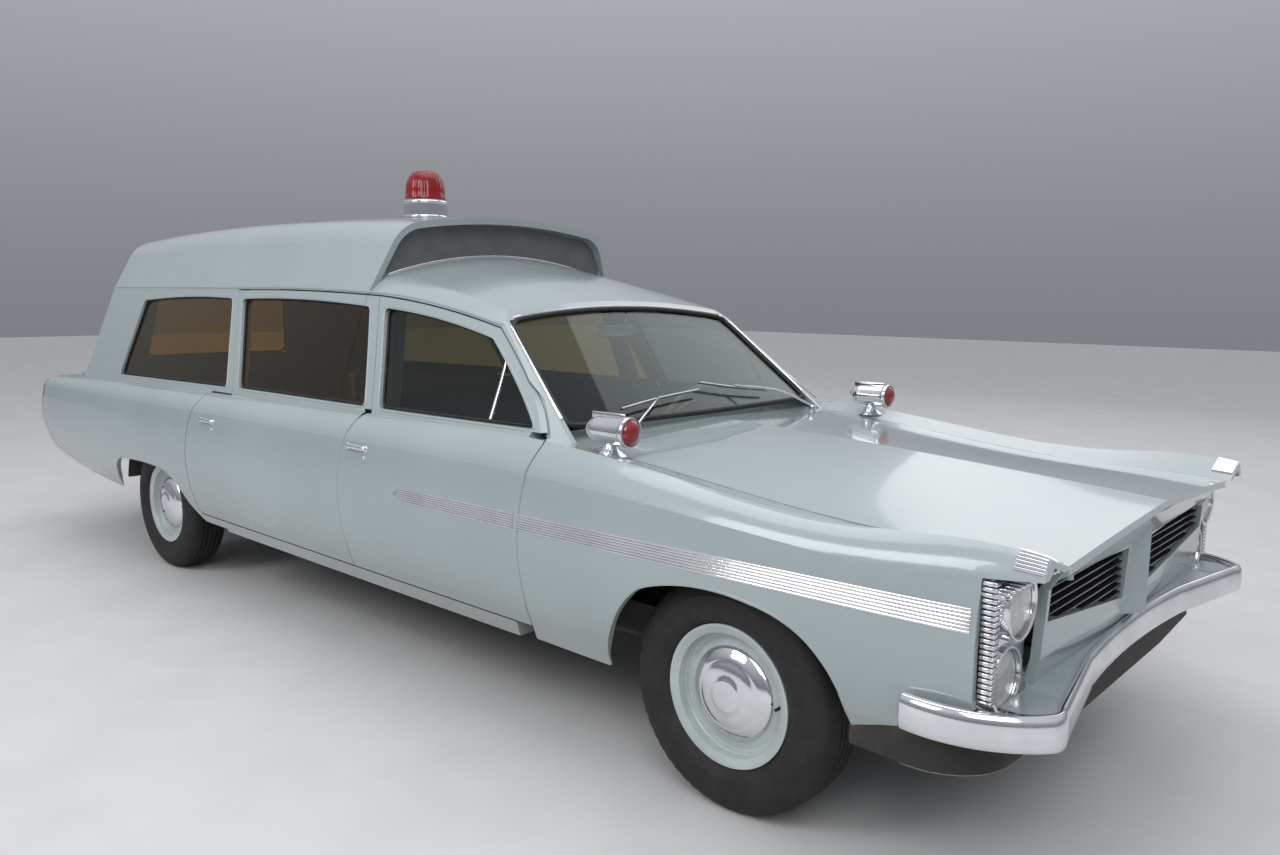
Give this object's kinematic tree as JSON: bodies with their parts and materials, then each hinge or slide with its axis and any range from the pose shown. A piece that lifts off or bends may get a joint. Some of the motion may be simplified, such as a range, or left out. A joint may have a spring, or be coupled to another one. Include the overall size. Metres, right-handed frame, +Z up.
{
  "type": "ambulance",
  "caption": "Full-size long-roof ambulance on a car chassis with opening side doors, rear loading door, hood, steered road wheels and a roof beacon.",
  "frame": {"origin": "on the ground, midway between the ends and between the sides", "axes": "+X forward, +Y to the vehicle's left, +Z up"},
  "size_m": [6.1962, 2.0006, 2.05],
  "materials": {
    "cast": "plain grey casting",
    "chrome": "polished",
    "dark_metal": "satin black underside paint",
    "glass": "clear",
    "paint": "gloss pale blue-grey enamel",
    "plastic": "black",
    "red_lens": "red lens",
    "trim": "black vinyl",
    "tyre": "matt black",
    "wheel": "gloss body colour"
  },
  "bodies": {
    "body": {"chassis_frame": "dark_metal", "underbody": "dark_metal", "rear_axle": "dark_metal", "cowl": "paint", "side_frames": "paint", "nose_panel": "paint", "grille": "chrome", "headlamps": "chrome", "front_bumper": "chrome", "rear_bumper": "chrome", "roof": "paint", "windshield": "glass", "quarter_left": "paint", "quarter_right": "paint", "quarter_glass": "glass", "tail_lamps": "red_lens", "dashboard": "plastic", "seats": "trim", "beacon_base": "chrome", "beacon_dome": "red_lens", "fender_lamps": "chrome", "front_fender_left": "paint", "front_fender_right": "paint"},
    "hood": {"hood": "paint"},
    "loading_door": {"loading_door": "paint", "loading_glass": "glass"},
    "steering_wheel": {"steering_wheel": "plastic"},
    "front_door_left": {"front_door_left": "paint", "front_glass_left": "glass"},
    "rear_door_left": {"rear_door_left": "paint", "rear_glass_left": "glass"},
    "front_door_right": {"front_door_right": "paint", "front_glass_right": "glass"},
    "rear_door_right": {"rear_door_right": "paint", "rear_glass_right": "glass"},
    "knuckle_left": {"knuckle_left": "cast"},
    "knuckle_right": {"knuckle_right": "cast"},
    "wheel_front_left": {"wheel_front_left": "wheel", "tyre_front_left": "tyre"},
    "wheel_front_right": {"wheel_front_right": "wheel", "tyre_front_right": "tyre"},
    "wheel_rear_left": {"wheel_rear_left": "wheel", "tyre_rear_left": "tyre"},
    "wheel_rear_right": {"wheel_rear_right": "wheel", "tyre_rear_right": "tyre"}
  },
  "joints": [
    {"name": "hood_hinge", "type": "hinge", "parent": "body", "child": "hood", "pos_m": [1.542, 0, 0.992], "axis": [0, -1, 0], "range_deg": [0, 45]},
    {"name": "loading_door_hinge", "type": "hinge", "parent": "body", "child": "loading_door", "pos_m": [-2.937, 0.61, 1], "axis": [0, 0, -1], "range_deg": [0, 100]},
    {"name": "front_door_left_hinge", "type": "hinge", "parent": "body", "child": "front_door_left", "pos_m": [1.376, 0.93, 0.67], "axis": [0, 0, -1], "range_deg": [0, 65]},
    {"name": "rear_door_left_hinge", "type": "hinge", "parent": "body", "child": "rear_door_left", "pos_m": [0.33, 0.93, 0.67], "axis": [0, 0, -1], "range_deg": [0, 65]},
    {"name": "front_door_right_hinge", "type": "hinge", "parent": "body", "child": "front_door_right", "pos_m": [1.376, -0.93, 0.67], "axis": [0, 0, 1], "range_deg": [0, 65]},
    {"name": "rear_door_right_hinge", "type": "hinge", "parent": "body", "child": "rear_door_right", "pos_m": [0.33, -0.93, 0.67], "axis": [0, 0, 1], "range_deg": [0, 65]},
    {"name": "steer_left", "type": "hinge", "parent": "body", "child": "knuckle_left", "pos_m": [2.2, 0.741, 0.342], "axis": [0, 0, 1], "range_deg": [-30, 30]},
    {"name": "steer_right", "type": "hinge", "parent": "body", "child": "knuckle_right", "pos_m": [2.2, -0.741, 0.342], "axis": [0, 0, 1], "range_deg": [-30, 30]},
    {"name": "wheel_front_left_spin", "type": "hinge", "parent": "knuckle_left", "child": "wheel_front_left", "pos_m": [2.2, 0.813, 0.342], "axis": [0, 1, 0], "continuous": true},
    {"name": "wheel_front_right_spin", "type": "hinge", "parent": "knuckle_right", "child": "wheel_front_right", "pos_m": [2.2, -0.813, 0.342], "axis": [0, 1, 0], "continuous": true},
    {"name": "wheel_rear_left_spin", "type": "hinge", "parent": "body", "child": "wheel_rear_left", "pos_m": [-1.49, 0.813, 0.342], "axis": [0, 1, 0], "continuous": true},
    {"name": "wheel_rear_right_spin", "type": "hinge", "parent": "body", "child": "wheel_rear_right", "pos_m": [-1.49, -0.813, 0.342], "axis": [0, 1, 0], "continuous": true},
    {"name": "steering_wheel_turn", "type": "hinge", "parent": "body", "child": "steering_wheel", "pos_m": [1, 0.37, 0.88], "axis": [0.8829, 0, -0.4695], "range_deg": [-450, 450]}
  ],
  "couplings": [
    {"joint": "steer_right", "follows": "steer_left", "ratio": 1},
    {"joint": "steering_wheel_turn", "follows": "steer_left", "ratio": -15}
  ]
}
